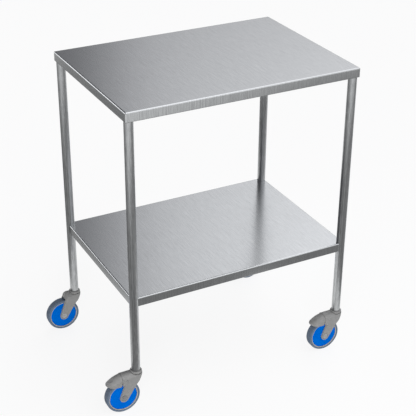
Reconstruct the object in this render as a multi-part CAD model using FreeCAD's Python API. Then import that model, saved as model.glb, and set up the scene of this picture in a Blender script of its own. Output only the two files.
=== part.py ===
import FreeCAD, Part
import math
import os

# Stainless dressing trolley on four 100 mm swivel casters, millimetres.
# Origin: centre of the plan, on the floor. X runs along the long side, -Y is the front, Z is up.

# Overall
length = 690.0
depth = 490.0
height = 900.0
lower_shelf_top = 358.5

# Sheet metal
sheet = 1.2
skirt = 27.0
return_flange = 14.0
bend_radius = 2.5
corner_radius = 3.0
weld_gap = 0.3

# Stiffening channels under the shelves
channel_width = 70.0
channel_depth = 15.0
channel_foot = 15.0
channel_end_gap = 60.0
channel_slope = 4.0

# Legs
leg_diameter = 25.0
leg_wall = 1.5
leg_to_skirt = 0.5
shelf_overhang = 7.6

# Wheel
wheel_diameter = 100.0
tyre_width = 25.0
tyre_thickness = 6.4
tyre_shoulder = 4.5
rim_thickness = 2.4
rim_width = 21.0
web_thickness = 5.0
hub_wall = 3.0
rib_count = 6
rib_thickness = 2.5
rib_inset = 2.5

# Wheel bearings and axle
bearing_bore = 8.0
bearing_diameter = 22.0
bearing_width = 7.0
bearing_shield = 0.6
ring_wall = 2.0
bearing_stop = 1.5
hub_width = 21.4
spacer_wall = 2.0
axle_head_diameter = 16.0
axle_head_height = 1.2
axle_recess = 1.0
axle_thread_diameter = 6.0

# Thread guards
guard_wall = 1.4
guard_rim_offset = 9.6
guard_hub_diameter = 18.0
guard_bead = 3.0

# Caster fork
trail = 43.5
fork_width = 35.4
fork_wall = 4.0
fork_end_radius = 13.0
wheel_well_gap = 6.0
head_rise = 16.0
head_taper_drop = 6.0
head_waist_drop = 17.0
head_waist_radius = 14.8
head_foot_drop = 30.0
head_foot_radius = 9.5
crest_rise = 6.4
crown_drop = 10.0
nose_radius = 15.0
nose_tip = 38.0
nose_foot_drop = 5.0
nose_steps = 4
nose_core = 1.5
front_knee_back = 39.5
front_knee_drop = 18.0
rear_knee_back = 8.0
rear_knee_drop = 34.0
rear_edge_ahead = 4.0
rear_edge_drop = 20.0
brake_knee_back = 42.4
brake_knee_drop = 27.5
knee_round = 12.0
edge_round = 1.5
front_bevel = 3.6
foot_bevel = 0.6
bevel_share = 0.85
hood_wall = 3.4
boss_wall = 3.0

# Swivel
collar_diameter = 33.6
collar_height = 7.0
collar_chamfer = 2.0
collar_gap = 1.0
king_pin_diameter = 10.0
king_thread_diameter = 8.0
king_shoulder_diameter = 15.0
swivel_bearing_diameter = 24.0
swivel_bearing_height = 12.0
swivel_bearing_depth = 2.0
nut_flats = 13.0
nut_height = 6.5
thread_stick_out = 1.0
nut_pocket_diameter = 17.0
stem_diameter = 12.0
stem_length = 48.0
stem_head_height = 4.0
sleeve_groove = 1.0
sleeve_groove_width = 2.0
sleeve_groove_count = 3

# Brake
hood_front = 46.5
pedal_gap = 0.6
pedal_joint_lean = 3.2
pedal_crest_drop = 1.6
pedal_radius = 78.0
pedal_pitch = 8.0
pedal_sweep = 60.0
pedal_tip = 91.0
pedal_straight = 68.0
pedal_wall = 3.0
pedal_section = 39.0
pedal_skirt_drop = 25.0
pedal_skirt_front = 72.0
pedal_tip_drop = 19.5
pedal_round = 2.0
pivot_back = 32.0
pivot_drop = 9.0
pivot_diameter = 5.0
pivot_inset = 0.5
pedal_angle = 10.0
arm_width = 4.0
arm_gap = 0.5
arm_eye_radius = 5.0
arm_rise = 2.4
hub_radius = 4.2
shoe_back = 46.0
shoe_length = 14.0
shoe_width = 16.0
shoe_top_drop = 9.5
shoe_gap = 0.4
pressed_gap = 0.8
dimple_back = 76.0
dimple_radius = 32.0
dimple_depth = 1.8
spring_thickness = 0.8
spring_width = 12.0
spring_reach = 4.5
spring_arch = 4.0
spring_bend = 1.0
spring_crest_bend = 1.5

# Clearances
running = 0.05
pin_running = 0.1
seat = 0.02
face_gap = 0.3
guard_gap = 0.5
guard_edge_gap = 0.45
sink = 1.0

# Worked out from the sizes above
leg_radius = leg_diameter / 2
leg_inset = sheet + leg_to_skirt + leg_radius
leg_x = length / 2 - leg_inset
leg_y = depth / 2 - leg_inset
wheel_radius = wheel_diameter / 2
half_fork = fork_width / 2
fork_gap = half_fork - fork_wall
well_radius = wheel_radius + wheel_well_gap
rim_radius = wheel_radius - tyre_thickness
bearing_radius = bearing_diameter / 2
axle_radius = bearing_bore / 2 - running
head_height = wheel_diameter + head_rise
head_taper_height = head_height - head_taper_drop
head_waist_height = head_height - head_waist_drop
head_foot_height = head_height - head_foot_drop
crest_height = head_height + crest_rise
front_knee_height = head_height - front_knee_drop
rear_knee_height = head_height - rear_knee_drop
rear_edge_height = head_height - rear_edge_drop
brake_knee_height = head_height - brake_knee_drop
pedal_skirt_height = head_height - pedal_skirt_drop
pedal_tip_height = head_height - pedal_tip_drop
pivot_height = head_height - pivot_drop
shoe_top = head_height - shoe_top_drop
collar_base = head_height + collar_gap
tube_end = collar_base + collar_height
swivel_bearing_top = head_height - swivel_bearing_depth
swivel_bearing_base = swivel_bearing_top - swivel_bearing_height
head_bore = swivel_bearing_diameter / 2
collar_clearance_radius = half_fork + face_gap
nose_foot = crest_height - nose_radius
pedal_back = hood_front + pedal_gap

LEG_PLACES = {
    "front_left": (-leg_x, -leg_y),
    "front_right": (leg_x, -leg_y),
    "rear_left": (-leg_x, leg_y),
    "rear_right": (leg_x, leg_y),
}
BRAKED = ("front_left", "front_right")


def vec(x, y, z):
    return FreeCAD.Vector(x, y, z)


def block(x0, x1, y0, y1, z0, z1):
    return Part.makeBox(x1 - x0, y1 - y0, z1 - z0, vec(x0, y0, z0))


def upright(radius, z0, z1, x=0.0, y=0.0):
    return Part.makeCylinder(radius, z1 - z0, vec(x, y, z0))


def crosswise(radius, y0, y1, x, z):
    return Part.makeCylinder(radius, y1 - y0, vec(x, y0, z), vec(0, 1, 0))


def place(shape, x, y):
    moved = shape.copy()
    moved.translate(vec(x, y, 0))
    return moved


def whole(shape):
    return shape.removeSplitter()


def profile_wire(points, radii, lift):
    """Closed outline through the points, each corner rounded by its radius with a tangent arc."""
    edges = []
    starts = []
    ends = []
    middles = []
    count = len(points)
    for i in range(count):
        here = FreeCAD.Vector(points[i][0], points[i][1], 0)
        back = FreeCAD.Vector(points[i - 1][0], points[i - 1][1], 0) - here
        ahead = FreeCAD.Vector(points[(i + 1) % count][0], points[(i + 1) % count][1], 0) - here
        back.normalize()
        ahead.normalize()
        half_angle = back.getAngle(ahead) / 2
        reach = radii[i] / math.tan(half_angle)
        bisector = back + ahead
        middle = here
        if radii[i] > 0:
            bisector.normalize()
            middle = here + bisector * (radii[i] / math.sin(half_angle) - radii[i])
        starts.append(here + back * reach)
        ends.append(here + ahead * reach)
        middles.append(middle)
    for i in range(count):
        if radii[i] > 0:
            edges.append(Part.Arc(lift(starts[i]), lift(middles[i]), lift(ends[i])).toShape())
        following = starts[(i + 1) % count]
        if (following - ends[i]).Length > 1e-6:
            edges.append(Part.makeLine(lift(ends[i]), lift(following)))
    return Part.Wire(edges)


def side_plate(points, radii, y0, y1):
    """Outline in X and Z, drawn out along Y."""
    wire = profile_wire(points, radii, lambda p: vec(p.x, y0, p.y))
    return Part.Face(wire).extrude(vec(0, y1 - y0, 0))


def plan_plate(points, radii, z0, z1):
    """Outline in X and Y, drawn out along Z."""
    wire = profile_wire(points, radii, lambda p: vec(p.x, p.y, z0))
    return Part.Face(wire).extrude(vec(0, 0, z1 - z0))


def turned(points, radii=None):
    """Outline of radius and height, turned about the Z axis."""
    wire = profile_wire(points, radii or [0] * len(points), lambda p: vec(p.x, 0, p.y))
    return Part.Face(wire).revolve(vec(0, 0, 0), vec(0, 0, 1), 360)


def turned_on_axle(points, radii=None):
    """Outline of radius and offset along Y, turned about the wheel's axle."""
    wire = profile_wire(points, radii or [0] * len(points), lambda p: vec(-trail, p.y, wheel_radius + p.x))
    return Part.Face(wire).revolve(vec(-trail, 0, wheel_radius), vec(0, 1, 0), 360)


def tangent_point(centre, radius, outside, side):
    """Where a line from an outside point touches a circle, on its left (1) or right (-1)."""
    dx = outside[0] - centre[0]
    dz = outside[1] - centre[1]
    turn = side * math.acos(radius / math.hypot(dx, dz))
    angle = math.atan2(dz, dx) + turn
    return (centre[0] + radius * math.cos(angle), centre[1] + radius * math.sin(angle))


def pan(width, breadth, top):
    """Folded tray turned upside down: deck, skirt and return flange of one sheet thickness."""
    outer = block(-width / 2, width / 2, -breadth / 2, breadth / 2, top - skirt, top)
    corners = [e for e in outer.Edges if abs(e.tangentAt(e.FirstParameter).z) > 0.9]
    outer = outer.makeFillet(corner_radius, corners)
    rims = [e for e in outer.Edges if abs(e.BoundBox.ZMin - top) < 1e-6 and e.BoundBox.ZLength < 1e-6]
    outer = outer.makeFillet(bend_radius, rims)
    inner_x = width / 2 - sheet
    inner_y = breadth / 2 - sheet
    inner = block(-inner_x, inner_x, -inner_y, inner_y, top - skirt + sheet, top - sheet)
    inner = inner.makeFillet(bend_radius - sheet, inner.Edges)
    mouth_x = width / 2 - return_flange
    mouth_y = breadth / 2 - return_flange
    mouth = block(-mouth_x, mouth_x, -mouth_y, mouth_y, top - skirt, top - skirt + 2 * sheet)
    return outer.cut(inner).cut(mouth)


def leg_holes(z0, z1):
    return [upright(leg_radius + weld_gap, z0, z1, x, y) for x, y in LEG_PLACES.values()]


def make_top_shelf():
    tray = pan(length, depth, height)
    for hole in leg_holes(height - skirt - sheet, height - skirt + 2 * sheet):
        tray = tray.cut(hole)
    return tray


def make_lower_shelf():
    width = 2 * (leg_x + shelf_overhang)
    breadth = 2 * (leg_y + shelf_overhang)
    tray = pan(width, breadth, lower_shelf_top)
    for hole in leg_holes(lower_shelf_top - skirt - sheet, lower_shelf_top + sheet):
        tray = tray.cut(hole)
    return max(tray.Solids, key=lambda s: s.Volume)


def make_channel(width, under):
    """Hat-section channel, spot-welded by its two feet under a deck."""
    half = width / 2 - channel_end_gap
    flat = channel_width / 2 - channel_foot
    low = under - channel_depth
    outline = [
        (-channel_width / 2, under),
        (-channel_width / 2, under - sheet),
        (-flat, under - sheet),
        (-flat + channel_slope, low),
        (flat - channel_slope, low),
        (flat, under - sheet),
        (channel_width / 2, under - sheet),
        (channel_width / 2, under),
        (flat - sheet, under),
        (flat - channel_slope - sheet, low + sheet),
        (-flat + channel_slope + sheet, low + sheet),
        (-flat + sheet, under),
    ]
    face = Part.Face(Part.makePolygon([vec(-half, y, z) for y, z in outline + outline[:1]]))
    return face.extrude(vec(2 * half, 0, 0))


def make_leg():
    """Tube up to the underside of the top deck, its upper rim bevelled clear of the sheet's inner bend."""
    top = height - sheet
    bevel = bend_radius - sheet - leg_to_skirt + pin_running
    outline = [
        (leg_radius - leg_wall, tube_end),
        (leg_radius, tube_end),
        (leg_radius, top - bevel),
        (leg_radius - bevel, top),
        (leg_radius - leg_wall, top),
    ]
    return turned(outline)


def make_collar():
    radius = collar_diameter / 2
    bore = stem_diameter / 2 + seat
    outline = [
        (bore, collar_base),
        (radius, collar_base),
        (radius, tube_end - collar_chamfer),
        (leg_radius + seat, tube_end),
        (bore, tube_end),
    ]
    return turned(outline, [0, 0, collar_chamfer, 0, 0])


def make_stem():
    pin = king_pin_diameter / 2
    thread = king_thread_diameter / 2
    nut_top = swivel_bearing_base - face_gap
    stem_top = tube_end + stem_length
    outline = [
        (0, nut_top - nut_height - thread_stick_out),
        (thread, nut_top - nut_height - thread_stick_out),
        (thread, nut_top),
        (pin, nut_top),
        (pin, swivel_bearing_top + face_gap),
        (king_shoulder_diameter / 2, swivel_bearing_top + face_gap),
        (king_shoulder_diameter / 2, collar_base),
        (stem_diameter / 2, collar_base),
        (stem_diameter / 2, stem_top - stem_head_height),
        (leg_radius - leg_wall - seat, stem_top - stem_head_height),
        (leg_radius - leg_wall - seat, stem_top - stem_head_height / 2),
        (stem_diameter / 2, stem_top),
        (0, stem_top),
    ]
    return turned(outline)


def make_sleeve():
    """Rubber expander sleeve round the stem, with shallow grooves."""
    outer = leg_radius - leg_wall - seat
    top = tube_end + stem_length - stem_head_height
    body = upright(outer, tube_end, top).cut(upright(stem_diameter / 2 + seat, tube_end, top))
    pitch = (top - tube_end) / (sleeve_groove_count + 1)
    for i in range(sleeve_groove_count):
        z = tube_end + pitch * (i + 1)
        ring = upright(leg_radius, z, z + sleeve_groove_width)
        body = body.cut(ring.cut(upright(outer - sleeve_groove, z, z + sleeve_groove_width)))
    return body


def make_king_nut():
    top = swivel_bearing_base - face_gap
    corner = nut_flats / 2 / math.cos(math.pi / 6)
    angles = [math.radians(60 * i) for i in range(6)]
    points = [(corner * math.cos(angle), corner * math.sin(angle)) for angle in angles]
    nut = plan_plate(points, [0] * 6, top - nut_height, top)
    return nut.cut(upright(king_thread_diameter / 2 + seat, top - nut_height, top))


def make_swivel_bearing():
    """Sealed double-row bearing, its shields a little below the ring faces."""
    bore = king_pin_diameter / 2 + running
    outer = head_bore - seat
    ring = upright(outer, swivel_bearing_base, swivel_bearing_top)
    ring = ring.cut(upright(bore, swivel_bearing_base, swivel_bearing_top))
    shield_in = bore + ring_wall
    shield_out = outer - ring_wall
    for z in (swivel_bearing_base, swivel_bearing_top - bearing_shield):
        groove = upright(shield_out, z, z + bearing_shield).cut(upright(shield_in, z, z + bearing_shield))
        ring = ring.cut(groove)
    return ring


def crown_face(half, drop, depth_down, x, crest):
    """Cross-section of the moulded housing: upright sides and a crowned top, in a plane of constant X."""
    foot = crest - depth_down
    edges = [
        Part.Arc(vec(x, -half, crest - drop), vec(x, 0, crest), vec(x, half, crest - drop)).toShape(),
        Part.makeLine(vec(x, half, crest - drop), vec(x, half, foot)),
        Part.makeLine(vec(x, half, foot), vec(x, -half, foot)),
        Part.makeLine(vec(x, -half, foot), vec(x, -half, crest - drop)),
    ]
    return Part.Face(Part.Wire(edges))


def crown_drop_inside(wall):
    """Drop of the inner crown at the inner half width, for a wall of even thickness."""
    radius = (half_fork**2 + crown_drop**2) / (2 * crown_drop)
    inner = radius - wall
    half = half_fork - fork_wall
    return inner - math.sqrt(inner**2 - half**2)


def nose_section(angle, drop, inset):
    """Outline of the hood's nose in a plane through its bend line, leant forward by the angle."""
    half = half_fork if inset == 0 else fork_gap
    reach = nose_radius - inset

    def point(y, out):
        return vec(-(nose_tip - nose_radius) - out * math.sin(angle), y, nose_foot + out * math.cos(angle))

    edges = [
        Part.Arc(point(-half, reach - drop), point(0, reach), point(half, reach - drop)).toShape(),
        Part.makeLine(point(half, reach - drop), point(half, nose_core)),
        Part.makeLine(point(half, nose_core), point(-half, nose_core)),
        Part.makeLine(point(-half, nose_core), point(-half, reach - drop)),
    ]
    return Part.Wire(edges)


def nose(inset):
    """Front of the plain hood: the crown turns down and flattens into the bevel of the cheeks."""
    top_drop = crown_drop if inset == 0 else crown_drop_inside(inset)
    foot_drop = nose_foot_drop if inset == 0 else nose_foot_drop / 2
    sections = []
    for step in range(nose_steps + 1):
        share = step / nose_steps
        sections.append(nose_section(math.pi / 2 * share, top_drop + (foot_drop - top_drop) * share, inset))
    return Part.makeLoft(sections, True, False)


def housing(braked, inset):
    """Crowned housing over the wheel; inset 0 is its outer form, more is the hollow inside it."""
    half = half_fork if inset == 0 else fork_gap
    drop = crown_drop if inset == 0 else crown_drop_inside(inset)
    crest = crest_height - inset
    if braked:
        face = crown_face(half, drop, crest - pedal_skirt_height, half_fork, crest)
        return face.extrude(vec(-half_fork - hood_front - inset, 0, 0))
    bend = nose_tip - nose_radius
    face = crown_face(half, drop, nose_radius - inset, half_fork, crest)
    ahead = face.extrude(vec(-half_fork - bend, 0, 0))
    body = ahead.fuse(nose(inset)).fuse(crosswise(nose_core + sink, -half, half, -bend, nose_foot))
    if inset > 0:
        body = body.fuse(block(-nose_tip + inset, half_fork, -half, half, wheel_radius, nose_foot))
    return body


def front_section(z, back, drop, inner_drop):
    """Level outline of the fork: crowned front, bevelled at the cheeks, with straight sides."""
    inner = -back + inner_drop
    side = -back + drop
    edges = [
        Part.makeLine(vec(side, -half_fork, z), vec(inner, -fork_gap, z)),
        Part.Arc(vec(inner, -fork_gap, z), vec(-back, 0, z), vec(inner, fork_gap, z)).toShape(),
        Part.makeLine(vec(inner, fork_gap, z), vec(side, half_fork, z)),
        Part.makeLine(vec(side, half_fork, z), vec(half_fork, half_fork, z)),
        Part.makeLine(vec(half_fork, half_fork, z), vec(half_fork, -half_fork, z)),
        Part.makeLine(vec(half_fork, -half_fork, z), vec(side, -half_fork, z)),
    ]
    return Part.Wire(edges)


def front_column(braked, knee, touch):
    """Body of the fork below the housing, its front bevel narrowing towards the axle."""
    slope = (touch[0] - knee[0]) / (touch[1] - knee[1])
    foot = wheel_radius - fork_end_radius
    foot_back = -knee[0] - slope * (foot - knee[1])
    shallow = front_bevel * (1 - bevel_share)
    sections = [
        front_section(foot, foot_back, foot_bevel, foot_bevel * (1 - bevel_share)),
        front_section(knee[1], -knee[0], front_bevel, shallow),
    ]
    if braked:
        sections.append(front_section(pedal_skirt_height, -knee[0], front_bevel, shallow))
    else:
        radius = (half_fork**2 + nose_foot_drop**2) / (2 * nose_foot_drop)
        inner_drop = radius - math.sqrt(radius**2 - fork_gap**2)
        sections.append(front_section(nose_foot, nose_tip, nose_foot_drop, inner_drop))
    return Part.makeLoft(sections, True, True)


def side_outline(braked):
    """Fork cheek seen from the side, from the axle end up the back, along the top and down the front."""
    axle = (-trail, wheel_radius)
    rear_knee = (-rear_knee_back, rear_knee_height)
    front_knee = (-front_knee_back, front_knee_height)
    if braked:
        front_knee = (-brake_knee_back, brake_knee_height)
    rear_touch = tangent_point(axle, fork_end_radius, rear_knee, -1)
    front_touch = tangent_point(axle, fork_end_radius, front_knee, 1)
    points = [rear_touch, rear_knee, (rear_edge_ahead, rear_edge_height), (half_fork, crest_height)]
    radii = [0, knee_round, knee_round, 0]
    if braked:
        points += [(-hood_front, crest_height), (-hood_front, pedal_skirt_height), front_knee, front_touch]
        radii += [0, edge_round, edge_round, 0]
    else:
        points += [(-nose_tip, crest_height), (-nose_tip, nose_foot), front_knee, front_touch]
        radii += [0, 0, 0, 0]
    return points, radii, front_knee, front_touch


def make_fork(braked):
    """Moulded fork: round head, crowned hood and two cheeks down to the axle."""
    points, radii, knee, touch = side_outline(braked)
    cheek = side_plate(points, radii, -half_fork, half_fork)
    cheek = cheek.fuse(crosswise(fork_end_radius, -half_fork, half_fork, -trail, wheel_radius))
    low = wheel_radius - fork_end_radius
    body = cheek.common(housing(braked, 0).fuse(front_column(braked, knee, touch)))
    plan = upright(half_fork, low, crest_height)
    plan = plan.fuse(block(-trail - 2 * fork_end_radius, 0, -half_fork, half_fork, low, crest_height))
    body = body.common(plan)
    bowl_edges = [
        Part.makeLine(vec(0, 0, head_foot_height), vec(head_foot_radius, 0, head_foot_height)),
        Part.Arc(
            vec(head_foot_radius, 0, head_foot_height),
            vec(head_waist_radius, 0, head_waist_height),
            vec(half_fork, 0, head_taper_height),
        ).toShape(),
        Part.makeLine(vec(half_fork, 0, head_taper_height), vec(half_fork, 0, head_height)),
        Part.makeLine(vec(half_fork, 0, head_height), vec(0, 0, head_height)),
        Part.makeLine(vec(0, 0, head_height), vec(0, 0, head_foot_height)),
    ]
    bowl = Part.Face(Part.Wire(bowl_edges)).revolve(vec(0, 0, 0), vec(0, 0, 1), 360)
    body = body.fuse(bowl)
    body = body.cut(upright(collar_clearance_radius, head_height, crest_height + sink))
    body = body.cut(crosswise(well_radius, -fork_gap, fork_gap, -trail, wheel_radius))
    hollow = housing(braked, hood_wall).cut(upright(head_bore + boss_wall, 0, crest_height))
    ahead_of_boss = block(-trail - well_radius, 0, -fork_gap, fork_gap, wheel_radius, crest_height)
    body = body.cut(hollow.common(ahead_of_boss))
    body = body.cut(upright(head_bore, swivel_bearing_base, head_height))
    body = body.cut(upright(nut_pocket_diameter / 2, wheel_radius, swivel_bearing_base))
    body = body.cut(crosswise(axle_radius + seat, -half_fork, half_fork, -trail, wheel_radius))
    recess = axle_head_diameter / 2 + axle_recess
    for y0 in (-half_fork, half_fork - axle_head_height):
        body = body.cut(crosswise(recess, y0, y0 + axle_head_height, -trail, wheel_radius))
    if braked:
        pin_bore = pivot_diameter / 2 + seat
        body = body.cut(crosswise(pin_bore, -half_fork, half_fork, -pivot_back, pivot_height))
    return whole(max(body.Solids, key=lambda s: s.Volume))


def make_axle_bolt():
    """Bolt with a flush round head in the front cheek, threaded at the other end."""
    head = crosswise(axle_head_diameter / 2, -half_fork, -half_fork + axle_head_height, -trail, wheel_radius)
    thread_from = fork_gap
    shank = crosswise(axle_radius, -half_fork + axle_head_height, thread_from, -trail, wheel_radius)
    thread_to = half_fork - axle_head_height
    tail = crosswise(axle_thread_diameter / 2, thread_from, thread_to, -trail, wheel_radius)
    bolt = head.fuse(shank).fuse(tail)
    slot_half = axle_head_height / 2
    slot = block(
        -trail - axle_head_diameter / 4,
        -trail + axle_head_diameter / 4,
        -half_fork,
        -half_fork + slot_half,
        wheel_radius - slot_half,
        wheel_radius + slot_half,
    )
    return whole(bolt).cut(slot)


def make_axle_nut():
    """Sleeve nut with the same flush round head in the rear cheek."""
    head_from = half_fork - axle_head_height
    head = crosswise(axle_head_diameter / 2, head_from, half_fork, -trail, wheel_radius)
    sleeve = crosswise(axle_radius, fork_gap + seat, head_from, -trail, wheel_radius)
    bore = crosswise(axle_thread_diameter / 2 + seat, fork_gap, head_from, -trail, wheel_radius)
    return whole(head.fuse(sleeve)).cut(bore)


def make_axle_spacer():
    half = hub_width / 2 - bearing_width - seat
    outer = crosswise(bearing_bore / 2 + spacer_wall, -half, half, -trail, wheel_radius)
    return outer.cut(crosswise(axle_radius + seat, -half, half, -trail, wheel_radius))


def make_wheel_bearings():
    rings = []
    for side in (-1, 1):
        outer_face = side * hub_width / 2
        inner_face = outer_face - side * bearing_width
        y0, y1 = sorted((outer_face, inner_face))
        ring = crosswise(bearing_radius - seat, y0, y1, -trail, wheel_radius)
        ring = ring.cut(crosswise(bearing_bore / 2, y0, y1, -trail, wheel_radius))
        s0, s1 = sorted((outer_face, outer_face - side * bearing_shield))
        shield = crosswise(bearing_radius - ring_wall, s0, s1, -trail, wheel_radius)
        shield = shield.cut(crosswise(bearing_bore / 2 + ring_wall, s0, s1, -trail, wheel_radius))
        rings.append(ring.cut(shield))
    return Part.makeCompound(rings)


def make_wheel_centre():
    """Moulded wheel body: hub with two bearing seats, ribbed web and rim."""
    hub = bearing_radius + hub_wall
    rim_in = rim_radius - rim_thickness
    shoulder = bearing_radius - bearing_stop
    half_web = web_thickness / 2
    half_hub = hub_width / 2
    seat_face = half_hub - bearing_width
    outline = [
        (bearing_radius, half_hub),
        (bearing_radius, seat_face),
        (shoulder, seat_face),
        (shoulder, -seat_face),
        (bearing_radius, -seat_face),
        (bearing_radius, -half_hub),
        (hub, -half_hub),
        (hub, -half_web),
        (rim_in, -half_web),
        (rim_in, -rim_width / 2),
        (rim_radius - seat, -rim_width / 2),
        (rim_radius - seat, rim_width / 2),
        (rim_in, rim_width / 2),
        (rim_in, half_web),
        (hub, half_web),
        (hub, half_hub),
    ]
    body = turned_on_axle(outline)
    rib_half = rim_width / 2 - rib_inset - guard_wall
    rib_from = -trail + hub - sink
    rib_to = -trail + rim_in + sink
    rib = block(rib_from, rib_to, -rib_half, rib_half, wheel_radius, wheel_radius + rib_thickness)
    for i in range(rib_count):
        turned_rib = rib.copy()
        turned_rib.rotate(vec(-trail, 0, wheel_radius), vec(0, 1, 0), 360.0 * i / rib_count)
        body = body.fuse(turned_rib)
    return whole(body)


def make_tyre():
    half = tyre_width / 2
    outline = [(rim_radius, -half), (wheel_radius, -half), (wheel_radius, half), (rim_radius, half)]
    return turned_on_axle(outline, [0, tyre_shoulder, tyre_shoulder, 0])


def make_thread_guards():
    """Two dished discs that stand still beside the wheel, each held at its hub by the axle."""
    hub_face = hub_width / 2 + face_gap
    bore = axle_radius + seat
    rim = rim_radius - rim_thickness - guard_edge_gap
    shoulder = bearing_radius + hub_wall + guard_gap
    outline = [
        (bore, hub_face),
        (shoulder, hub_face),
        (rim - guard_bead, guard_rim_offset - guard_wall),
        (rim, guard_rim_offset - guard_wall),
        (rim, guard_rim_offset - guard_wall / 2),
        (rim - guard_bead / 2, guard_rim_offset),
        (shoulder, hub_face + guard_wall),
        (guard_hub_diameter / 2, fork_gap - seat),
        (bore, fork_gap - seat),
    ]
    right = turned_on_axle(outline)
    left = right.mirror(vec(0, 0, 0), vec(0, 1, 0))
    return Part.makeCompound([right, left])


def pedal_arc():
    """Centre of the pedal's crest arc, in X and Z."""
    pitch = math.radians(pedal_pitch)
    crest = crest_height - pedal_crest_drop
    return (-pedal_back + pedal_radius * math.sin(pitch), crest - pedal_radius * math.cos(pitch))


def pedal_form(inset):
    """Crowned section swept back along the crest arc, with a rounded tip; inset gives the hollow inside."""
    half = half_fork if inset == 0 else fork_gap
    drop = crown_drop if inset == 0 else crown_drop_inside(inset)
    centre_x, centre_z = pedal_arc()
    face = crown_face(half, drop, pedal_section, centre_x, centre_z + pedal_radius - inset)
    form = face.revolve(vec(centre_x, 0, centre_z), vec(0, 1, 0), -pedal_sweep)
    tip = pedal_tip - inset - pedal_straight
    nose = Part.Ellipse(vec(-pedal_straight, 0, 0), tip, half)
    plan = Part.Face(Part.Wire([nose.toShape()])).extrude(vec(0, 0, crest_height))
    plan = plan.fuse(block(-pedal_straight, 0, -half, half, 0, crest_height))
    return form.common(plan)


def pedal_side():
    """Pedal seen from the side: upright joint, joint leaning away below, skirt, and rise to the tip."""
    far = -pedal_tip - sink
    points = [
        (-pedal_back, crest_height),
        (-pedal_back, pivot_height + pedal_gap),
        (-pedal_back - pedal_joint_lean, pedal_skirt_height),
        (-pedal_skirt_front, pedal_skirt_height),
        (-pedal_tip + pedal_round, pedal_tip_height),
        (far, pedal_tip_height + sink),
        (far, crest_height),
    ]
    return points, [0, 0, pedal_round, knee_round, pedal_round, 0, 0]


def pressed_wheel(gap, half):
    """The wheel with a gap round it, as it stands to the pedal when that is pressed right down."""
    wheel = crosswise(wheel_radius + gap, -half, half, -trail, wheel_radius)
    wheel.rotate(vec(-pivot_back, 0, pivot_height), vec(0, 1, 0), pedal_angle)
    return wheel


def make_pedal():
    """Moulded shell open below and at the hood, with two arms back to the pivot and a bridge for the shoe."""
    points, radii = pedal_side()
    outer = pedal_form(0).common(side_plate(points, radii, -half_fork, half_fork))
    shell = outer.cut(pedal_form(pedal_wall))
    bridge = block(
        -shoe_back - shoe_length, -pedal_back, -shoe_width / 2, shoe_width / 2, shoe_top, crest_height
    ).common(outer)
    body = shell.fuse(bridge)
    eye_low = pivot_height - arm_eye_radius
    eye_high = pivot_height + arm_eye_radius
    arm_end = -shoe_back - shoe_length
    for side in (-1, 1):
        y0, y1 = sorted((side * (fork_gap - arm_gap), side * (fork_gap - arm_gap - arm_width)))
        arm_outline = [
            (-pivot_back, eye_low),
            (-pivot_back, eye_high),
            (arm_end, eye_high),
            (arm_end, eye_low + arm_rise),
        ]
        arm = side_plate(arm_outline, [0, 0, 0, 0], y0, y1)
        eye = crosswise(arm_eye_radius, y0, y1, -pivot_back, pivot_height)
        body = body.fuse(arm).fuse(eye)
        f0, f1 = sorted((side * fork_gap, side * (fork_gap - arm_gap - arm_width)))
        foot = block(arm_end, -pedal_back, f0, f1, shoe_top, eye_high)
        body = body.fuse(foot.common(outer))
    hub_half = fork_gap - arm_gap - arm_width
    body = body.fuse(crosswise(hub_radius, -hub_half, hub_half, -pivot_back, pivot_height))
    pin_bore = pivot_diameter / 2 + pin_running
    body = body.cut(crosswise(pin_bore, -half_fork, half_fork, -pivot_back, pivot_height))
    centre_x, centre_z = pedal_arc()
    lean = math.asin((dimple_back + centre_x) / pedal_radius)
    away = pedal_radius + dimple_radius - dimple_depth
    ball_centre = vec(centre_x - away * math.sin(lean), 0, centre_z + away * math.cos(lean))
    body = body.cut(Part.makeSphere(dimple_radius, ball_centre))
    body = body.cut(pressed_wheel(pressed_gap, fork_gap))
    return whole(max(body.Solids, key=lambda s: s.Volume))


def make_shoe():
    """Brake shoe under the pedal's bridge, hollowed to the tyre where the pressed pedal brings it."""
    back = -shoe_back - shoe_length
    pad = block(back, -pedal_back, -shoe_width / 2, shoe_width / 2, wheel_diameter, shoe_top)
    return pad.cut(pressed_wheel(shoe_gap, half_fork))


def make_pivot_pin():
    half = half_fork - pivot_inset
    return crosswise(pivot_diameter / 2, -half, half, -pivot_back, pivot_height)


def strip_outline(points, thickness):
    """Both edges of a bent strip, from its middle line."""
    near = []
    far = []
    last = len(points) - 1
    for i, point in enumerate(points):
        here = FreeCAD.Vector(point[0], point[1], 0)
        before = FreeCAD.Vector(points[max(i - 1, 0)][0], points[max(i - 1, 0)][1], 0)
        after = FreeCAD.Vector(points[min(i + 1, last)][0], points[min(i + 1, last)][1], 0)
        way_in = (here - before) if i > 0 else (after - here)
        way_out = (after - here) if i < last else (here - before)
        way_in.normalize()
        way_out.normalize()
        across = FreeCAD.Vector(-way_in.y - way_out.y, way_in.x + way_out.x, 0)
        across.normalize()
        reach = thickness / 2 / across.dot(FreeCAD.Vector(-way_in.y, way_in.x, 0))
        near.append((here.x + across.x * reach, here.y + across.y * reach))
        far.append((here.x - across.x * reach, here.y - across.y * reach))
    return near + far[::-1]


def make_spring():
    """Bent leaf between the head's wall and the pedal's hub; it holds the pedal up."""
    wall_x = -(head_bore + boss_wall) - pin_running - spring_thickness / 2
    hub_x = -pivot_back + hub_radius + face_gap + spring_thickness / 2
    points = [
        (wall_x, pivot_height - spring_reach),
        (wall_x, pivot_height + spring_reach),
        ((wall_x + hub_x) / 2, pivot_height + spring_reach + spring_arch),
        (hub_x, pivot_height + spring_reach),
        (hub_x, pivot_height - spring_reach),
    ]
    outline = strip_outline(points, spring_thickness)
    bends = [0, spring_bend, spring_crest_bend, spring_bend, 0] * 2
    return side_plate(outline, bends, -spring_width / 2, spring_width / 2)


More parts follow.
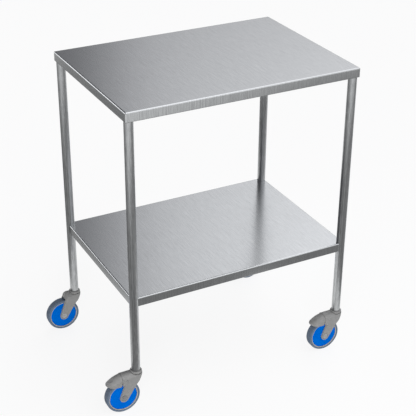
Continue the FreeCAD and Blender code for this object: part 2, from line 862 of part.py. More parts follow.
def save(name, shape):
    if not shape.isValid():
        print("not valid:", name)
    shape.exportStep("parts/" + name + ".step")
    print(name, len(shape.Solids), round(shape.Volume, 1))


def save_caster(name, x, y):
    """Every piece of one caster, moved to its leg."""
    braked = name in BRAKED
    pieces = {
        "caster_stem": make_stem(),
        "caster_fork": make_fork(braked),
        "swivel_bearing": make_swivel_bearing(),
        "axle_bolt": make_axle_bolt(),
        "axle_nut": make_axle_nut(),
        "axle_spacer": make_axle_spacer(),
        "thread_guards": make_thread_guards(),
        "wheel_centre": make_wheel_centre(),
        "wheel_bearings": make_wheel_bearings(),
        "tyre": make_tyre(),
    }
    if braked:
        pieces["brake_pedal"] = make_pedal()
        pieces["brake_shoe"] = make_shoe()
        pieces["pedal_pin"] = make_pivot_pin()
        pieces["pedal_spring"] = make_spring()
    for piece, shape in pieces.items():
        save(piece + "_" + name, place(shape, x, y))


def main():
    os.makedirs("parts", exist_ok=True)
    save("top_shelf", make_top_shelf())
    save("lower_shelf", make_lower_shelf())
    save("top_shelf_channel", make_channel(length, height - sheet))
    save("lower_shelf_channel", make_channel(2 * (leg_x + shelf_overhang), lower_shelf_top - sheet))
    for name, (x, y) in LEG_PLACES.items():
        save("leg_" + name, place(make_leg(), x, y))
        save_caster(name, x, y)
    groups = {"stem_collars": make_collar, "stem_sleeves": make_sleeve, "king_nuts": make_king_nut}
    for group, make in groups.items():
        save(group, Part.makeCompound([place(make(), x, y) for x, y in LEG_PLACES.values()]))


if __name__ == "__main__":
    main()
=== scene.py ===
import math

import bpy
import numpy as np
from mathutils import Matrix, Vector


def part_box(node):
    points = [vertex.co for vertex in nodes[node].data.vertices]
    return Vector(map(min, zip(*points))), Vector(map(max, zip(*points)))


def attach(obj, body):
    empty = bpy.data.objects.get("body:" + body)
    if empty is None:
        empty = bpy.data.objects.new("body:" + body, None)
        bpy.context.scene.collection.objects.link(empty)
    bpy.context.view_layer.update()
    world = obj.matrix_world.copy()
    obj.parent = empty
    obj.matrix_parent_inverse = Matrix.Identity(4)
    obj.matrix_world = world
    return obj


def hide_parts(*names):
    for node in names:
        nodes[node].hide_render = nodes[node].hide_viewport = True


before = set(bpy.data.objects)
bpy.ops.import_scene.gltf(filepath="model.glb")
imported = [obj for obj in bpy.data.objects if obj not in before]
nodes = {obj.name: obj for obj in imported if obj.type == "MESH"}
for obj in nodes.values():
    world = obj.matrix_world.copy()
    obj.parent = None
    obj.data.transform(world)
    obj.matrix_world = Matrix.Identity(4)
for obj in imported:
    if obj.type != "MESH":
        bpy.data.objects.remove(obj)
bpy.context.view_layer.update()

mm = 0.001
places = ["front_left", "front_right", "rear_left", "rear_right"]
print("frame loaded,", len(nodes), "nodes")


# small tools for meshes

def nodeBox(name):
    # a node's lowest and highest corners in mm
    low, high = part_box(name)
    return np.array(low) / mm, np.array(high) / mm


def ringQuads(rows, columns, closeRows=False):
    # quad (i, j) joins points (i, j), (i, j+1), (i+1, j+1), (i+1, j); columns wrap round, rows if closed
    i, j = np.meshgrid(np.arange(rows if closeRows else rows - 1), np.arange(columns), indexing="ij")
    ni, nj = (i + 1) % rows, (j + 1) % columns
    corners = [i * columns + j, i * columns + nj, ni * columns + nj, ni * columns + j]
    return np.stack(corners, -1).reshape(-1, 4)


def arc(centre, radius, start, stop, steps):
    # points of a circle arc in the profile's plane: centre + radius * (cos a, sin a), a in degrees
    a = np.radians(np.linspace(start, stop, steps + 1))
    return np.stack([centre[0] + radius * np.cos(a), centre[1] + radius * np.sin(a)], 1)


def turned(profile, steps, centre, axis="z"):
    # closed profile of (radius, along) turned round an axis: (r cos t, r sin t, along) for z,
    # (r cos t, -along, r sin t) for y
    t = np.linspace(0, 2 * math.pi, steps, endpoint=False)
    r, along = profile[:, :1], profile[:, 1:] * np.ones_like(t)
    if axis == "z":
        grid = np.stack([r * np.cos(t), r * np.sin(t), along], -1)
    else:
        grid = np.stack([r * np.cos(t), -along, r * np.sin(t)], -1)
    return grid.reshape(-1, 3) + np.asarray(centre), ringQuads(len(profile), steps, closeRows=True)


def finishMesh(name, points, faces, body, material, sharp, standsFor=(), uv=None):
    # makes the object in metres, smooth up to the sharp angle in degrees; points are in mm, and so is uv,
    # which holds one place per corner of each face
    mesh = bpy.data.meshes.new(name)
    mesh.from_pydata(np.asarray(points) * mm, [], [list(map(int, f)) for f in faces])
    if uv is not None:
        layer = mesh.uv_layers.new(name="grain")
        layer.data.foreach_set("uv", (np.asarray(uv) * mm).astype(np.float32).ravel())
    mesh.validate()
    mesh.update()
    mesh.shade_smooth()
    mesh.set_sharp_from_angle(angle=math.radians(sharp))
    mesh.materials.append(material)
    piece = bpy.data.objects.new(name, mesh)
    bpy.context.scene.collection.objects.link(piece)
    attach(piece, body)
    if standsFor:
        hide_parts(*standsFor)


# small tools for materials

def linear(hexCode):
    # sRGB hex to linear RGBA
    parts = [int(hexCode[i:i + 2], 16) / 255 for i in (1, 3, 5)]
    return tuple(c / 12.92 if c <= 0.04045 else ((c + 0.055) / 1.055) ** 2.4 for c in parts) + (1.0,)


def emptyTree(block):
    # the cleared node tree of a material or a world
    block.use_nodes = True
    block.node_tree.nodes.clear()
    return block.node_tree


def newMaterial(name):
    material = bpy.data.materials.new(name)
    return material, emptyTree(material)


def addNode(tree, kind, settings=None, inputs=None, stops=(), ease="LINEAR"):
    # adds a node, sets its properties, sets or links its inputs, where a node stands for its first output,
    # and gives a colour ramp its stops of (place, colour)
    node = tree.nodes.new(kind)
    for key, value in (settings or {}).items():
        setattr(node, key, value)
    for key, value in (inputs or {}).items():
        source = value.outputs[0] if isinstance(value, bpy.types.Node) else value
        if isinstance(source, bpy.types.NodeSocket):
            tree.links.new(source, node.inputs[key])
        else:
            node.inputs[key].default_value = source
    if stops:
        node.color_ramp.interpolation = ease
        while len(node.color_ramp.elements) < len(stops):
            node.color_ramp.elements.new(0.5)
        for element, (place, colour) in zip(node.color_ramp.elements, stops):
            element.position = place
            element.color = colour
    return node


# camera at the photograph's angle

photoView = {
    "azimuth": 27.851, "elevation": 28.066, "roll": 0.441,      # degrees
    "distance": 3.181904, "target": (0.009298, -0.008815, 0.442171),      # metres
    "focal": 1088.412, "frame": 416.0,      # pixels
    "sensor": 36.0,      # mm
}


def placeCamera(v):
    # looks back along (-sin a cos e, -cos a cos e, sin e) at the target, rolled about that line
    a, e, roll = (math.radians(v[k]) for k in ("azimuth", "elevation", "roll"))
    back = Vector((-math.sin(a) * math.cos(e), -math.cos(a) * math.cos(e), math.sin(e)))
    right = Vector((math.cos(a), -math.sin(a), 0))
    up = back.cross(right)
    right, up = math.cos(roll) * right + math.sin(roll) * up, math.cos(roll) * up - math.sin(roll) * right
    data = bpy.data.cameras.new("camera")
    data.sensor_width = v["sensor"]
    data.lens = v["sensor"] * v["focal"] / v["frame"]
    camera = bpy.data.objects.new("camera", data)
    turn = Matrix((right, up, back)).transposed().to_4x4()
    camera.matrix_world = Matrix.Translation(Vector(v["target"]) + v["distance"] * back) @ turn
    bpy.context.scene.collection.objects.link(camera)
    bpy.context.scene.camera = camera


placeCamera(photoView)
bpy.context.scene.view_settings.view_transform = "Standard"
print("camera placed")


# floor: white paper where the camera looks, on a grey oval of painted shade round the trolley, as if the
# light ended there, with pale floor round it

floorLooks = {
    # metres from the middle, across and along the camera's line
    "half": 14.0,
    "paperMiddle": 0.018, "paperNear": -0.42, "paperHalf": 0.592, "paperSlope": 0.17,
    "paperOpens": 0.1, "paperSpread": 1.5,      # how much faster it widens on the right, past where it opens
    "paperEdge": 0.04,
    # the grey oval is painted shade: the floor is darker round the trolley so that the steel mirrors a dark
    # surround
    "shadeMiddle": (0.3, 0.5), "shadeStretch": 1.7, "shadeEdge": (1.85, 2.35),      # the oval is longer across
    # grey is the painted shade's value inside the oval, pale the floor's value beyond it
    "grey": 0.30, "pale": 1.0,      # plain values of light
    "diffuse": 0.8, "glow": 0.86,      # glow lifts what is seen towards white, the rest keeps the shadow
}


def makeFloor(s):
    # the paper reaches half + slope * (along - near) to each side of its middle,
    # and on the right also spread * (along - opens)
    half = s["half"]
    square = [(-half, -half, 0), (half, -half, 0), (half, half, 0), (-half, half, 0)]
    mesh = bpy.data.meshes.new("floor")
    mesh.from_pydata(square, [], [(0, 1, 2, 3)])
    material, tree = newMaterial("floor with white paper on painted shade")
    soft = {"interpolation_type": "SMOOTHSTEP"}
    place = addNode(tree, "ShaderNodeTexCoord").outputs["Object"]
    axes = addNode(tree, "ShaderNodeSeparateXYZ", inputs={0: place})
    across, along = axes.outputs["X"], axes.outputs["Y"]

    # how far a point lies outside the paper, to the left and to the right, in metres
    within = addNode(tree, "ShaderNodeMath", {"operation": "MULTIPLY_ADD"}, {
        0: along, 1: -s["paperSlope"], 2: s["paperSlope"] * s["paperNear"] - s["paperHalf"]})
    aside = addNode(tree, "ShaderNodeMath", {"operation": "SUBTRACT"}, {0: across, 1: s["paperMiddle"]})
    past = addNode(tree, "ShaderNodeMath", {"operation": "SUBTRACT"}, {0: along, 1: s["paperOpens"]})
    behind = addNode(tree, "ShaderNodeMath", {"operation": "MAXIMUM"}, {0: past, 1: 0.0})
    left = addNode(tree, "ShaderNodeMath", {"operation": "MULTIPLY_ADD"}, {0: aside, 1: -1.0, 2: within})
    straight = addNode(tree, "ShaderNodeMath", {"operation": "ADD"}, {0: aside, 1: within})
    right = addNode(tree, "ShaderNodeMath", {"operation": "MULTIPLY_ADD"}, {
        0: behind, 1: -s["paperSpread"], 2: straight})
    outside = addNode(tree, "ShaderNodeMath", {"operation": "MAXIMUM"}, {0: left, 1: right})
    sides = addNode(tree, "ShaderNodeMapRange", soft, {
        "Value": outside, "From Min": s["paperEdge"], "From Max": 0.0})
    front = addNode(tree, "ShaderNodeMapRange", soft, {
        "Value": along, "From Min": s["paperNear"] - s["paperEdge"], "From Max": s["paperNear"]})
    paper = addNode(tree, "ShaderNodeMath", {"operation": "MULTIPLY"}, {0: sides, 1: front})

    # the painted shade oval is a circle on a floor squeezed across
    squeezed = addNode(tree, "ShaderNodeVectorMath", {"operation": "MULTIPLY"}, {
        0: place, 1: (1 / s["shadeStretch"], 1.0, 0.0)})
    away = addNode(tree, "ShaderNodeVectorMath", {"operation": "DISTANCE"}, {
        0: squeezed, 1: (s["shadeMiddle"][0] / s["shadeStretch"], s["shadeMiddle"][1], 0.0)})
    # painted shade: grey inside the oval, fading to pale beyond it
    ground = addNode(tree, "ShaderNodeMapRange", soft, {
        "Value": away.outputs["Value"], "From Min": s["shadeEdge"][0], "From Max": s["shadeEdge"][1],
        "To Min": s["grey"], "To Max": s["pale"]})
    tone = addNode(tree, "ShaderNodeMath", {"operation": "MAXIMUM"}, {0: paper, 1: ground})

    # the camera, metal and glass see the tone itself, painted shade included, which keeps some of the shadow
    path = addNode(tree, "ShaderNodeLightPath")
    mirrored = addNode(tree, "ShaderNodeMath", {"operation": "MAXIMUM"}, {
        0: path.outputs["Is Glossy Ray"], 1: path.outputs["Is Transmission Ray"]})
    seen = addNode(tree, "ShaderNodeMath", {"operation": "MAXIMUM"}, {
        0: path.outputs["Is Camera Ray"], 1: mirrored})
    glow = addNode(tree, "ShaderNodeMath", {"operation": "MULTIPLY"}, {0: seen, 1: s["glow"]})
    lit = addNode(tree, "ShaderNodeMath", {"operation": "MULTIPLY"}, {0: tone, 1: s["diffuse"]})
    matt = addNode(tree, "ShaderNodeBsdfDiffuse", inputs={"Color": lit})
    plain = addNode(tree, "ShaderNodeEmission", inputs={"Color": tone, "Strength": 1.0})
    mix = addNode(tree, "ShaderNodeMixShader", inputs={0: glow, 1: matt, 2: plain})
    addNode(tree, "ShaderNodeOutputMaterial", inputs={"Surface": mix})

    mesh.materials.append(material)
    floor = bpy.data.objects.new("floor", mesh)
    floor.rotation_euler = (0, 0, -math.radians(photoView["azimuth"]))
    bpy.context.scene.collection.objects.link(floor)


makeFloor(floorLooks)


# world: a grey studio by direction, with a lit wall on the right and two low soft strips

worldLooks = {
    "sky": [(0.52, "#8C8C8F"), (0.76, "#76767A"), (1.0, "#A8A8AC")],      # height, 0 down to 1 up, colour
    "lightTone": "#FDFDFF",
    "wallTurn": 21, "wallReach": (-0.012, 0.9), "wallHeight": (0.0, 0.62),
    "wallLight": [(0.0, 0.0), (0.07, 1.0), (0.185, 1.32), (0.386, 1.87), (0.67, 1.2)],      # place, light
    "strips": [(25, (0.94, 0.985), 1.6), (-142, (0.9, 0.97), 2.6)],      # turn in degrees, reach, light
    "stripFoot": (-0.1, 0.0), "stripTop": (0.34, 0.20),
}


def levelAxis(turn):
    # a level direction, turned in degrees from -Y towards +X
    return math.sin(math.radians(turn)), -math.cos(math.radians(turn)), 0.0


def makeWorld(s):
    # light by direction d: sky(z) + wall(d . right) * rise(z) + the sum of strip(d . turned) * band(z)
    world = bpy.data.worlds.new("studio")
    bpy.context.scene.world = world
    tree = emptyTree(world)
    soft = {"interpolation_type": "SMOOTHSTEP"}
    direction = addNode(tree, "ShaderNodeTexCoord").outputs["Generated"]
    up = addNode(tree, "ShaderNodeSeparateXYZ", inputs={0: direction}).outputs["Z"]
    height = addNode(tree, "ShaderNodeMapRange", inputs={"Value": up, "From Min": -1.0, "From Max": 1.0})
    tone = addNode(tree, "ShaderNodeValToRGB", inputs={"Fac": height}, ease="EASE",
                   stops=[(place, linear(colour)) for place, colour in s["sky"]])

    side = addNode(tree, "ShaderNodeVectorMath", {"operation": "DOT_PRODUCT"}, {
        0: direction, 1: levelAxis(90 - s["wallTurn"])})
    reach = addNode(tree, "ShaderNodeMapRange", inputs={
        "Value": side.outputs["Value"], "From Min": s["wallReach"][0], "From Max": s["wallReach"][1]})
    wall = addNode(tree, "ShaderNodeValToRGB", inputs={"Fac": reach},
                   stops=[(place, (light, light, light, 1)) for place, light in s["wallLight"]])
    rise = addNode(tree, "ShaderNodeMapRange", soft, {
        "Value": up, "From Min": s["wallHeight"][0], "From Max": s["wallHeight"][1]})
    bright = addNode(tree, "ShaderNodeMath", {"operation": "MULTIPLY"}, {0: wall, 1: rise})

    foot, top = (addNode(tree, "ShaderNodeMapRange", soft, {
        "Value": up, "From Min": s[edge][0], "From Max": s[edge][1]}) for edge in ("stripFoot", "stripTop"))
    band = addNode(tree, "ShaderNodeMath", {"operation": "MULTIPLY"}, {0: foot, 1: top})
    for turn, (dark, full), light in s["strips"]:
        side = addNode(tree, "ShaderNodeVectorMath", {"operation": "DOT_PRODUCT"}, {
            0: direction, 1: levelAxis(turn)})
        strip = addNode(tree, "ShaderNodeMapRange", soft, {
            "Value": side.outputs["Value"], "From Min": dark, "From Max": full, "To Max": light})
        bright = addNode(tree, "ShaderNodeMath", {"operation": "MULTIPLY_ADD"}, {
            0: strip, 1: band, 2: bright})

    room = addNode(tree, "ShaderNodeBackground", inputs={"Color": tone, "Strength": 1.0})
    lights = addNode(tree, "ShaderNodeBackground", inputs={
        "Color": linear(s["lightTone"]), "Strength": bright})
    sky = addNode(tree, "ShaderNodeAddShader", inputs={0: room, 1: lights})
    addNode(tree, "ShaderNodeOutputWorld", inputs={"Surface": sky})


makeWorld(worldLooks)


# one soft lamp in front, which the metal doesn't mirror

lampLooks = {
    "place": (-2.1, -3.3, 0.7), "aim": (0.0, 0.0, 0.3), "side": 1.6,      # metres
    "power": 66, "beam": 120,      # watts, degrees
}


def makeLamp(s):
    data = bpy.data.lights.new("lampFront", "AREA")
    data.size = s["side"]
    data.energy = s["power"]
    data.spread = math.radians(s["beam"])
    lamp = bpy.data.objects.new("lampFront", data)
    lamp.location = s["place"]
    lamp.visible_glossy = False
    lamp.rotation_euler = (Vector(s["place"]) - Vector(s["aim"])).to_track_quat("Z", "Y").to_euler()
    bpy.context.scene.collection.objects.link(lamp)


makeLamp(lampLooks)
print("studio lit")


# stainless steel

# line and hair are mm wide and long, drawn wider than real hairlines so that they show
sheetLooks = {
    "light": "#BFC1C2", "dark": "#ACAEAF", "roughness": 0.2, "anisotropy": 0.3, "line": (2.4, 80.0),
}
tubeLooks = {
    "light": "#C6C8C9", "dark": "#9A9C9D", "roughness": 0.33, "anisotropy": 0.75, "line": (3.0, 400.0),
}
brushLooks = {
    "hair": (0.9, 30.0),
    "detail": (3.0, 2.0), "noiseRoughness": 0.6, "noiseRange": (0.3, 0.7),
    "contrast": 0.22, "uprightGain": 2.8,      # upright faces show their lines more than the level decks
    "glossSwing": 0.02, "bump": 0.02, "bumpDepth": 0.1,      # depth in mm
}


def hairlineSteel(name, s, brush):
    # stainless steel 1.4301 with a brushed hairline finish: long fine scratches along V and a soft gloss
    # stretched across them
    material, tree = newMaterial(name)
    place = addNode(tree, "ShaderNodeUVMap", {"uv_map": "grain"})
    noises = []
    for (width, length), detail in zip((s["line"], brush["hair"]), brush["detail"]):
        stretched = addNode(tree, "ShaderNodeMapping", {"vector_type": "POINT"}, {
            "Vector": place, "Scale": (1 / (width * mm), 1 / (length * mm), 1.0)})
        noises.append(addNode(tree, "ShaderNodeTexNoise", {"noise_dimensions": "2D"}, {
            "Vector": stretched, "Scale": 1.0, "Detail": detail, "Roughness": brush["noiseRoughness"]}))
    both = addNode(tree, "ShaderNodeMath", {"operation": "ADD"}, dict(enumerate(noises)))
    lines = addNode(tree, "ShaderNodeMath", {"operation": "MULTIPLY"}, {0: both, 1: 0.5})

    # contrast about the middle value, by how upright the face is
    normal = addNode(tree, "ShaderNodeNewGeometry").outputs["True Normal"]
    tilt = addNode(tree, "ShaderNodeSeparateXYZ", inputs={0: normal}).outputs["Z"]
    level = addNode(tree, "ShaderNodeMath", {"operation": "ABSOLUTE"}, {0: tilt})
    gain = addNode(tree, "ShaderNodeMapRange", inputs={
        "Value": level, "To Min": brush["uprightGain"], "To Max": 1.0})
    off = addNode(tree, "ShaderNodeMath", {"operation": "SUBTRACT"}, {0: lines, 1: 0.5})
    shown = addNode(tree, "ShaderNodeMath", {"operation": "MULTIPLY_ADD"}, {0: off, 1: gain, 2: 0.5})
    colour = addNode(tree, "ShaderNodeValToRGB", inputs={"Fac": shown}, stops=[
        (0.5 - brush["contrast"], linear(s["dark"])), (0.5 + brush["contrast"], linear(s["light"]))])

    rough = addNode(tree, "ShaderNodeMapRange", inputs={
        "Value": lines, "From Min": brush["noiseRange"][0], "From Max": brush["noiseRange"][1],
        "To Min": s["roughness"] + brush["glossSwing"], "To Max": s["roughness"] - brush["glossSwing"]})
    bump = addNode(tree, "ShaderNodeBump", inputs={
        "Strength": brush["bump"], "Distance": brush["bumpDepth"] * mm, "Height": lines})
    tangent = addNode(tree, "ShaderNodeTangent", {"direction_type": "UV_MAP", "uv_map": "grain"})
    shader = addNode(tree, "ShaderNodeBsdfPrincipled", inputs={
        "Base Color": colour, "Metallic": 1.0, "Roughness": rough, "Normal": bump,
        "Anisotropic": s["anisotropy"], "Tangent": tangent})
    addNode(tree, "ShaderNodeOutputMaterial", inputs={"Surface": shader})
    return material


# moulded plastics and rubbers

plasticLooks = {
    "cloud": 18.0,      # mm, the size of the faint cloudiness
    "cloudDetail": 3.0, "cloudRoughness": 0.55, "gritDetail": 2.0, "gritRoughness": 0.6,
    "noiseRange": (0.3, 0.7), "glossSwing": 0.05, "bump": 0.5,
}


def mouldedPlastic(name, light, dark, roughness, grit, gritDepth, specular, shared=plasticLooks):
    # injection moulded plastic: even colour with a faint cloudiness, and the spark-eroded grit of the mould,
    # whose size and depth are in mm
    material, tree = newMaterial(name)
    place = addNode(tree, "ShaderNodeTexCoord").outputs["Object"]
    low, high = shared["noiseRange"]
    cloud = addNode(tree, "ShaderNodeTexNoise", inputs={
        "Vector": place, "Scale": 1 / (shared["cloud"] * mm),
        "Detail": shared["cloudDetail"], "Roughness": shared["cloudRoughness"]})
    grain = addNode(tree, "ShaderNodeTexNoise", inputs={
        "Vector": place, "Scale": 1 / (grit * mm),
        "Detail": shared["gritDetail"], "Roughness": shared["gritRoughness"]})
    colour = addNode(tree, "ShaderNodeValToRGB", inputs={"Fac": cloud},
                     stops=[(low, linear(dark)), (high, linear(light))])
    rough = addNode(tree, "ShaderNodeMapRange", inputs={
        "Value": grain, "From Min": low, "From Max": high,
        "To Min": roughness - shared["glossSwing"], "To Max": roughness + shared["glossSwing"]})
    bump = addNode(tree, "ShaderNodeBump", inputs={
        "Strength": shared["bump"], "Distance": gritDepth * mm, "Height": grain})
    shader = addNode(tree, "ShaderNodeBsdfPrincipled", inputs={
        "Base Color": colour, "Roughness": rough, "Normal": bump, "Specular IOR Level": specular})
    addNode(tree, "ShaderNodeOutputMaterial", inputs={"Surface": shader})
    return material


# zinc plating

zincLooks = {
    "crystal": 1.5,      # mm
    "light": "#B2B3B4", "dark": "#9FA0A2", "roughness": (0.38, 0.48),
}


def zincPlate(s):
    # steel with bright zinc plating: pale metal with a soft crystalline mottle
    material, tree = newMaterial("steel, bright zinc plated")
    place = addNode(tree, "ShaderNodeTexCoord").outputs["Object"]
    mottle = addNode(tree, "ShaderNodeTexVoronoi", inputs={
        "Vector": place, "Scale": 1 / (s["crystal"] * mm)})
    colour = addNode(tree, "ShaderNodeValToRGB", inputs={"Fac": mottle},
                     stops=[(0.0, linear(s["light"])), (1.0, linear(s["dark"]))])
    rough = addNode(tree, "ShaderNodeMapRange", inputs={
        "Value": mottle, "To Min": s["roughness"][0], "To Max": s["roughness"][1]})
    shader = addNode(tree, "ShaderNodeBsdfPrincipled", inputs={
        "Base Color": colour, "Metallic": 1.0, "Roughness": rough})
    addNode(tree, "ShaderNodeOutputMaterial", inputs={"Surface": shader})
    return material


sheetSteel = hairlineSteel("stainless steel sheet, brushed", sheetLooks, brushLooks)      # soft wide gloss
tubeSteel = hairlineSteel("stainless steel tube, ground", tubeLooks, brushLooks)      # lines along the tube
platedSteel = zincPlate(zincLooks)
greyNylon = mouldedPlastic("grey polyamide, moulded", "#777776", "#717170",
                           roughness=0.42, grit=0.9, gritDepth=0.04, specular=0.5)
bluePlastic = mouldedPlastic("blue polypropylene, satin moulded", "#0057B0", "#0052A6",
                             roughness=0.6, grit=1.2, gritDepth=0.02, specular=0.0)
paleCentre = mouldedPlastic("light grey polypropylene, moulded", "#9C9994", "#93908B",
                            roughness=0.45, grit=1.0, gritDepth=0.03, specular=0.5)
greyRubber = mouldedPlastic("blue-grey thermoplastic rubber, matt", "#576271", "#505B69",
                            roughness=0.68, grit=1.4, gritDepth=0.05, specular=0.25)
blackRubber = mouldedPlastic("black nitrile rubber, moulded", "#262626", "#1E1E1E",
                             roughness=0.75, grit=1.6, gritDepth=0.05, specular=0.3)

slotMaterials = {
    "shelf_steel": sheetSteel, "tube_steel": tubeSteel, "plated_steel": platedSteel,
    "grey_plastic": greyNylon, "light_plastic": paleCentre, "blue_plastic": bluePlastic,
    "tyre": greyRubber, "black_rubber": blackRubber,
}
for node in nodes.values():
    for materialSlot in node.material_slots:
        materialSlot.material = slotMaterials[materialSlot.material.name.split(".")[0]]
print("materials assigned")


# shelves: folded sheet, worked out as a profile carried round a rounded rectangle

shelfSizes = {
    # mm and degrees
    "sheet": 1.2, "skirt": 27.0, "flange": 14.0, "bend": 3.6, "foldBend": 1.4,
    "corner": 3.0, "cornerSteps": 6, "bendSteps": 8, "foldSteps": 6, "insideSteps": 4,
    "leastRadius": 0.02,      # of the corner on the inside of the bends, so that no face is lost there
    "strip": 0.3,      # narrow faces beside each bend, so that smooth shading leaves the flats flat
    "sharp": 50,
}


def makeShelf(name, nodeName, s):
    low, high = nodeBox(nodeName)
    halfX, halfY, top = (high[0] - low[0]) / 2, (high[1] - low[1]) / 2, high[2]
    t, b, f, strip, bottom = s["sheet"], s["bend"], s["foldBend"], s["strip"], top - s["skirt"]
    # profile points (inset from the outer face, height): down the outside to the flange, back up inside
    profile = np.concatenate([
        [(b + strip, top)],
        arc((b, top - b), b, 90, 180, s["bendSteps"]),
        [(0, top - b - strip), (0, bottom + f + strip)],
        arc((f, bottom + f), f, 180, 270, s["foldSteps"]),
        [(f + strip, bottom), (s["flange"], bottom), (s["flange"], bottom + t), (f + strip, bottom + t)],
        arc((f, bottom + f), f - t, 270, 180, s["insideSteps"]),
        [(t, bottom + f + strip), (t, top - b - strip)],
        arc((b, top - b), b - t, 180, 90, s["insideSteps"]),
        [(b + strip, top - t)],
    ])
    count = s["cornerSteps"] + 1
    a = np.radians(np.concatenate([np.linspace(q * 90, q * 90 + 90, count) for q in range(4)]))
    quarter = np.repeat(np.arange(4), count)
    signX = np.array([1, -1, -1, 1])[quarter]
    signY = np.array([1, 1, -1, -1])[quarter]
    inset, z = profile[:, :1], profile[:, 1:]
    # a corner's middle lies one corner radius in, or as far in as the profile is where that is more
    middle = np.maximum(s["corner"], inset)
    radius = np.maximum(s["corner"] - inset, s["leastRadius"])
    x = signX * (halfX - middle) + radius * np.cos(a)
    y = signY * (halfY - middle) + radius * np.sin(a)
    points = np.stack([x, y, z * np.ones_like(a)], -1).reshape(-1, 3)

    # the grain's place is the sheet laid flat: the deck's own x and y at the bend, then outwards by the
    # length of the profile from there, so that the grain runs on round the fold
    steps = np.linalg.norm(np.diff(profile, axis=0), axis=1)
    unfolded = (np.concatenate([[0], np.cumsum(steps)]) - strip)[:, None]
    edgeX = signX * (halfX - s["corner"]) + (s["corner"] - b) * np.cos(a)
    edgeY = signY * (halfY - s["corner"]) + (s["corner"] - b) * np.sin(a)
    # as far as the corner's middle, cos 45 degrees, the sheet unfolds along x, and past it along y
    facesX = np.abs(np.cos(a)) > 0.7071
    u = edgeX + np.where(facesX, np.sign(np.cos(a)) * unfolded, 0)
    v = edgeY + np.where(facesX, 0, np.sign(np.sin(a)) * unfolded)
    uv = np.stack([u, v], -1).reshape(-1, 2)

    rows, columns = len(profile), len(a)
    faces = [list(q[::-1]) for q in ringQuads(rows, columns)]
    faces.append(list(range(columns))[::-1])
    faces.append(list(range((rows - 1) * columns, rows * columns)))
    corners = np.concatenate([np.asarray(f) for f in faces])
    finishMesh(name, points, faces, "frame", sheetSteel, s["sharp"], [nodeName], uv[corners])


makeShelf("topShelfSheet", "top_shelf", shelfSizes)
makeShelf("lowerShelfSheet", "lower_shelf", shelfSizes)
print("shelves made")


# legs: one ground tube each, from the caster to the underside of the top deck

legSizes = {
    # mm and degrees
    "wall": 1.5, "topEdge": 1.0, "footEdge": 0.5, "rings": 5, "steps": 96, "sharp": 30,
}


def makeLeg(place, s):
    nodeName = "leg_" + place
    low, high = nodeBox(nodeName)
    centre = (low + high) / 2
    radius, bottom, top = (high[0] - low[0]) / 2, low[2], high[2]
    inner = radius - s["wall"]
    heights = np.linspace(bottom + s["footEdge"], top - s["topEdge"], s["rings"])
    profile = np.concatenate([
        [(inner, bottom), (radius - s["footEdge"], bottom)],
        np.stack([np.full_like(heights, radius), heights], 1),
        [(radius - s["topEdge"], top), (inner, top)],
    ])
    points, quads = turned(profile, s["steps"], (centre[0], centre[1], 0))
    # grain: U runs once round, V up; each quad's far side takes the next step's U, where the ring closes too
    step = 2 * math.pi * radius / s["steps"]
    i, j = np.divmod(np.arange(len(quads)), s["steps"])
    below, above = profile[i, 1], profile[(i + 1) % len(profile), 1]
    u = np.stack([j * step, (j + 1) * step, (j + 1) * step, j * step], 1)
    v = np.stack([below, below, above, above], 1)
    uv = np.stack([u, v], -1).reshape(-1, 2)
    finishMesh("tube_" + place, points, quads, "frame", tubeSteel, s["sharp"], [nodeName], uv)


for place in places:
    makeLeg(place, legSizes)
print("legs made")


# collars under the tubes

collarSizes = {
    # mm and degrees
    "bore": 6.1, "radius": 16.8, "lip": 0.5,
    "round": 2.2, "roundDrop": 0.3, "roundSweep": 75, "roundSteps": 6,
    "rimOut": 0.4, "rimDrop": 0.1,      # the rim round the tube's foot
    "steps": 96, "sharp": 50,
}


def makeCollar(place, s):
    # all four collars are one node, so the first one stands for it
    collarLow, collarHigh = nodeBox("stem_collars")
    low, high = nodeBox("leg_" + place)
    centre, tube = (low + high) / 2, (high[0] - low[0]) / 2
    bottom, top, edge = collarLow[2], collarHigh[2], s["round"]
    profile = np.concatenate([
        [(s["bore"], bottom), (s["radius"] - s["lip"], bottom), (s["radius"], bottom + s["lip"])],
        arc((s["radius"] - edge, top - s["roundDrop"] - edge), edge, 0, s["roundSweep"], s["roundSteps"]),
        [(tube + s["rimOut"], top - s["rimDrop"]), (tube, top), (s["bore"], top)],
    ])
    points, quads = turned(profile, s["steps"], (centre[0], centre[1], 0))
    standsFor = ["stem_collars"] if place == places[0] else []
    finishMesh("collar_" + place, points, quads, "frame", greyNylon, s["sharp"], standsFor)


for place in places:
    makeCollar(place, collarSizes)
print("collars made")


# wheels: tyre and thread guards, turned round the axle

tyreSizes = {
    # mm and degrees
    "thickness": 6.4, "shoulder": 4.5, "shoulderSteps": 8, "innerEdge": 0.6, "steps": 128, "sharp": 40,
}
guardSizes = {
    # mm and degrees
    "bore": 3.97, "hub": 9.0, "hubFace": 11.0, "hubOut": 13.68, "shoulder": 14.5, "wall": 1.4,
    "hollow": 5.0, "hollowOut": 3.0, "hollowDrop": 0.3,      # the hollow round the hub
    "hollowSweep": (262, 232), "hollowSteps": 5,
    "rim": 40.75, "rimOffset": 9.6, "bead": 3.0, "browIn": 4.0, "browRise": 0.15,
    "innerRound": 0.6, "innerSteps": 4, "outerRound": 1.2, "outerSweep": 84, "outerSteps": 6,
    "steps": 128, "sharp": 35,
}


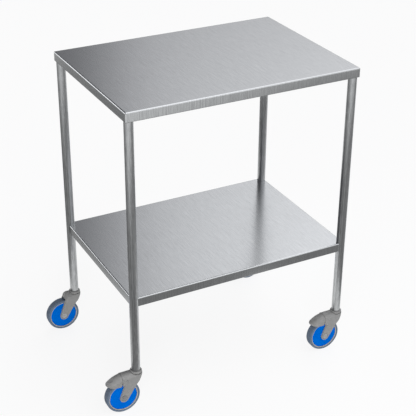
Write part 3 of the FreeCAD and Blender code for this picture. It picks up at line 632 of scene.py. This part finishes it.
def makeTyre(place, s):
    # a closed ring with round shoulders, its tread a true cylinder between them
    nodeName = "tyre_" + place
    low, high = nodeBox(nodeName)
    radius, half = (high[2] - low[2]) / 2, (high[1] - low[1]) / 2
    inner, h, edge = radius - s["thickness"], s["shoulder"], s["innerEdge"]
    profile = np.concatenate([
        arc((radius - h, half - h), h, 90, 0, s["shoulderSteps"]),
        [(radius, 0.0)],
        arc((radius - h, -half + h), h, 0, -90, s["shoulderSteps"]),
        [(inner + edge, -half), (inner, -half + edge), (inner, half - edge), (inner + edge, half)],
    ])
    points, quads = turned(profile[::-1], s["steps"], (low + high) / 2, "y")
    finishMesh("tyreTread_" + place, points, quads, "wheel_" + place, greyRubber, s["sharp"],
               [nodeName])


def makeGuards(place, s):
    # a dished disc each side: a closed profile (radius, offset along the axle), turned, and its mirror image
    low, high = nodeBox("tyre_" + place)
    rim, outer, within, out = s["rim"], s["rimOffset"], s["innerRound"], s["outerRound"]
    inner = outer - s["wall"]
    hollowRadius, hollowFoot = s["shoulder"] + s["hollowOut"], s["hubFace"] + s["wall"] - s["hollowDrop"]
    profile = np.concatenate([
        [(s["bore"], s["hubFace"]), (s["shoulder"], s["hubFace"]), (rim - s["bead"], inner)],
        arc((rim - within, inner + within), within, -90, 0, s["innerSteps"]),
        arc((rim - out, outer - out), out, 0, s["outerSweep"], s["outerSteps"]),
        [(rim - s["browIn"], outer + s["browRise"]), (hollowRadius, hollowFoot)],
        arc((hollowRadius, hollowFoot + s["hollow"]), s["hollow"], *s["hollowSweep"], s["hollowSteps"]),
        [(s["hub"], s["hubOut"]), (s["bore"], s["hubOut"])],
    ])
    right, quads = turned(profile, s["steps"], (0, 0, 0), "y")
    left = right * (1, -1, 1)
    points = np.concatenate([right, left]) + (low + high) / 2
    faces = [list(q) for q in quads] + [list(q[::-1] + len(right)) for q in quads]
    finishMesh("guard_" + place, points, faces, "caster_" + place, bluePlastic, s["sharp"],
               ["thread_guards_" + place])


for place in places:
    makeTyre(place, tyreSizes)
    makeGuards(place, guardSizes)
print("tyres and guards made")
